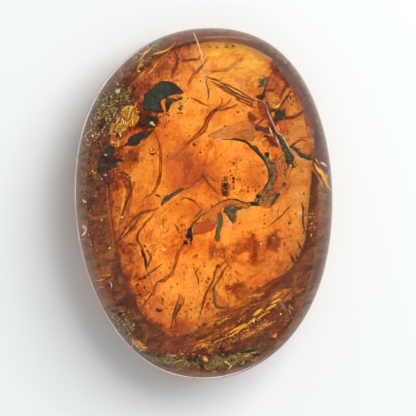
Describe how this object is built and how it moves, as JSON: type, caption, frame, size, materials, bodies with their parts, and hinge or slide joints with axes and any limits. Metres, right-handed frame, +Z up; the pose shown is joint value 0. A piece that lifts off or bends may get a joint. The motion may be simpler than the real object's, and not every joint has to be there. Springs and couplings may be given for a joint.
{
  "type": "amber with inclusions",
  "caption": "Oval polished amber cabochon with plant debris, bark fragments and flow lines sealed inside, resting on a small flat base.",
  "frame": {"origin": "middle of the bounding box's bottom, on the plane that the flat base rests on", "axes": "+Y along the stone's long axis towards its broader end, +X across it, +Z up through the dome"},
  "size_m": [0.0258, 0.0352, 0.011],
  "materials": {
    "amber": "polished",
    "bark_charcoal": "matte",
    "plant_matter": "satin",
    "resin_stain": "satin",
    "gold_crack": "gloss",
    "pale_mineral": "satin"
  },
  "bodies": {
    "root": {"amber_stone": "amber"}
  },
  "joints": []
}
